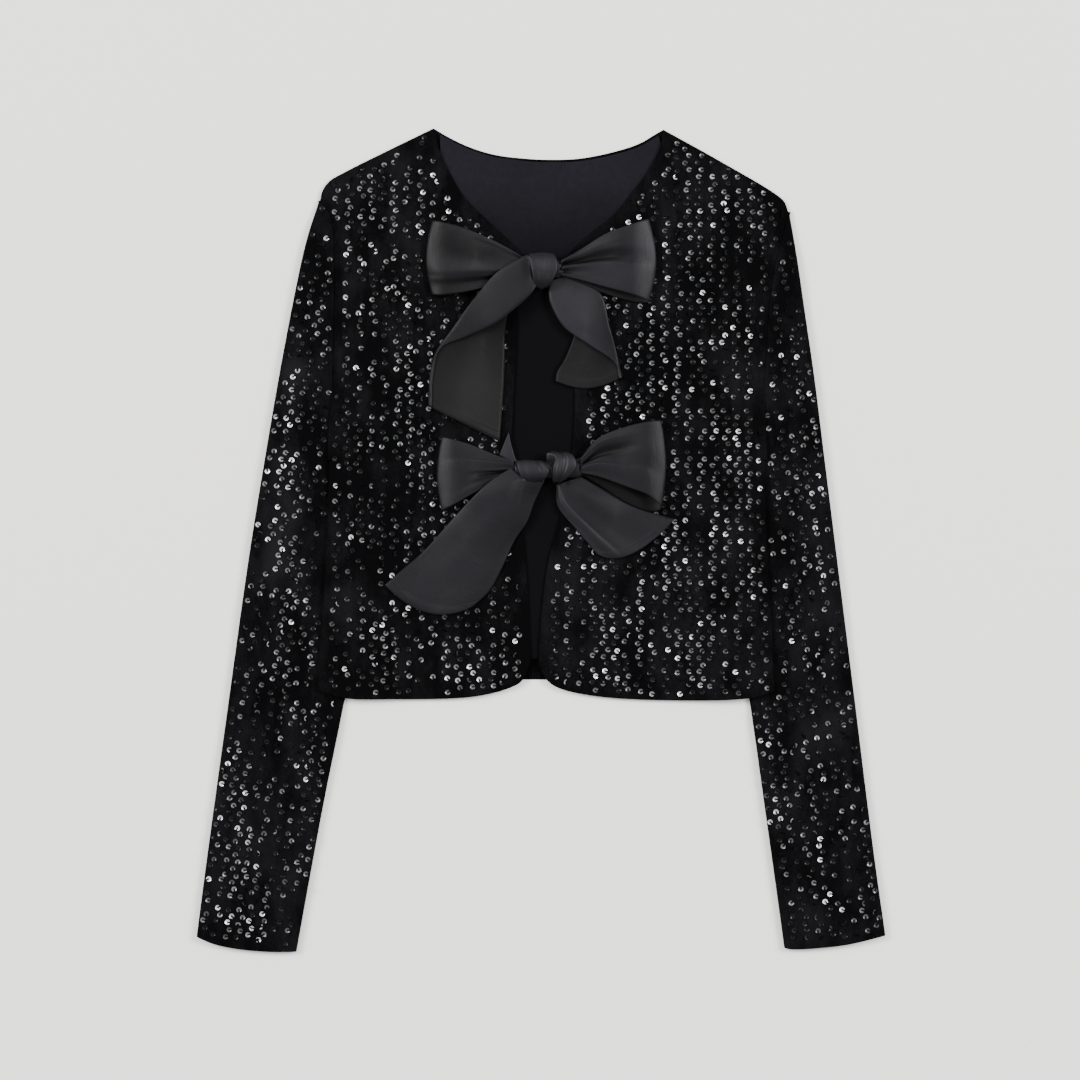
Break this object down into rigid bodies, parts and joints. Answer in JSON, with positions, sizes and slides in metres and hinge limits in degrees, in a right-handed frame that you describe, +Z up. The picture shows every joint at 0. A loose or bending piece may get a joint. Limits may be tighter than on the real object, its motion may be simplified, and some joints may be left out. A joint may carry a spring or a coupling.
{
  "type": "sequin cardigan",
  "caption": "Cropped collarless long-sleeved velvet cardigan set with columns of cup sequins, tied in front with satin ribbon bows, laid flat.",
  "frame": {"origin": "on the table, below the middle of the laid-out cardigan", "axes": "+Z up from the table, +Y towards the neck, +X to the viewer's right (the wearer's left)"},
  "size_m": [0.5514, 0.6592, 0.0192],
  "materials": {
    "velvet": "black pile velvet, set with black cup sequins",
    "lining": "smooth matt black lining cloth",
    "satin": "charcoal satin ribbon with a soft sheen"
  },
  "bodies": {
    "root": {"back": "velvet", "back_lining": "lining", "front_right": "velvet", "front_left": "velvet", "sleeve_right": "velvet", "sleeve_left": "velvet", "bow_upper_knot": "satin", "bow_upper_loop_right": "satin", "bow_upper_loop_left": "satin", "bow_upper_tail_right": "satin", "bow_upper_tail_left": "satin", "bow_lower_knot": "satin", "bow_lower_loop_right": "satin", "bow_lower_loop_left": "satin", "bow_lower_tail_right": "satin", "bow_lower_tail_left": "satin", "tie_upper_right": "satin", "tie_upper_left": "satin", "tie_lower_right": "satin", "tie_lower_left": "satin"}
  },
  "joints": []
}
